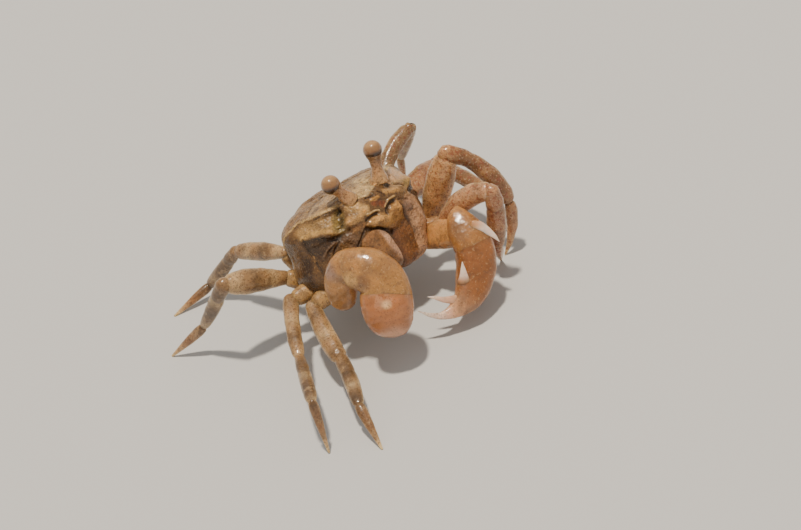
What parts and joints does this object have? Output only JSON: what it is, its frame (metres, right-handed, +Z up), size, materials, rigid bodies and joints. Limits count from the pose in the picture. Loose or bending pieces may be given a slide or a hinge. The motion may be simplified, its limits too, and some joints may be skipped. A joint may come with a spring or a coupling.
{
  "type": "ghost crab figure",
  "caption": "Life-size figure of a young ghost crab with raised eyestalks, unequal claws and slender legs, standing nose up.",
  "frame": {"origin": "middle of the underside of the bounding box, on the floor under the crab", "axes": "+Z up, -Y the way the crab faces, +X to the crab's left; in metres"},
  "size_m": [0.0146, 0.015, 0.0076],
  "materials": {
    "carapace_tan": "wet, speckled",
    "underside_grey": "wet, translucent",
    "mouth_brown": "wet",
    "limb_straw": "wet, translucent, speckled",
    "claw_peach": "wet, smooth",
    "stalk_pink": "wet, smooth",
    "eye_dark": "polished"
  },
  "bodies": {
    "root": {"abdomen": "underside_grey", "antenna_left": "stalk_pink", "antenna_right": "stalk_pink", "carapace": "carapace_tan", "claw_left_carpus": "claw_peach", "claw_left_dactyl": "claw_peach", "claw_left_merus": "claw_peach", "claw_left_palm": "claw_peach", "claw_right_carpus": "claw_peach", "claw_right_dactyl": "claw_peach", "claw_right_merus": "claw_peach", "claw_right_palm": "claw_peach", "eye_left": "eye_dark", "eye_right": "eye_dark", "eyestalk_left": "stalk_pink", "eyestalk_right": "stalk_pink", "face": "underside_grey", "leg_left_1_carpus": "limb_straw", "leg_left_1_dactyl": "limb_straw", "leg_left_1_merus": "limb_straw", "leg_left_1_propodus": "limb_straw", "leg_left_2_carpus": "limb_straw", "leg_left_2_dactyl": "limb_straw", "leg_left_2_merus": "limb_straw", "leg_left_2_propodus": "limb_straw", "leg_left_3_carpus": "limb_straw", "leg_left_3_dactyl": "limb_straw", "leg_left_3_merus": "limb_straw", "leg_left_3_propodus": "limb_straw", "leg_left_4_carpus": "limb_straw", "leg_left_4_dactyl": "limb_straw", "leg_left_4_merus": "limb_straw", "leg_left_4_propodus": "limb_straw", "leg_right_1_carpus": "limb_straw", "leg_right_1_dactyl": "limb_straw", "leg_right_1_merus": "limb_straw", "leg_right_1_propodus": "limb_straw", "leg_right_2_carpus": "limb_straw", "leg_right_2_dactyl": "limb_straw", "leg_right_2_merus": "limb_straw", "leg_right_2_propodus": "limb_straw", "leg_right_3_carpus": "limb_straw", "leg_right_3_dactyl": "limb_straw", "leg_right_3_merus": "limb_straw", "leg_right_3_propodus": "limb_straw", "leg_right_4_carpus": "limb_straw", "leg_right_4_dactyl": "limb_straw", "leg_right_4_merus": "limb_straw", "leg_right_4_propodus": "limb_straw", "maxilliped_left": "underside_grey", "maxilliped_right": "underside_grey", "mouth": "mouth_brown", "thorax": "underside_grey"}
  },
  "joints": []
}
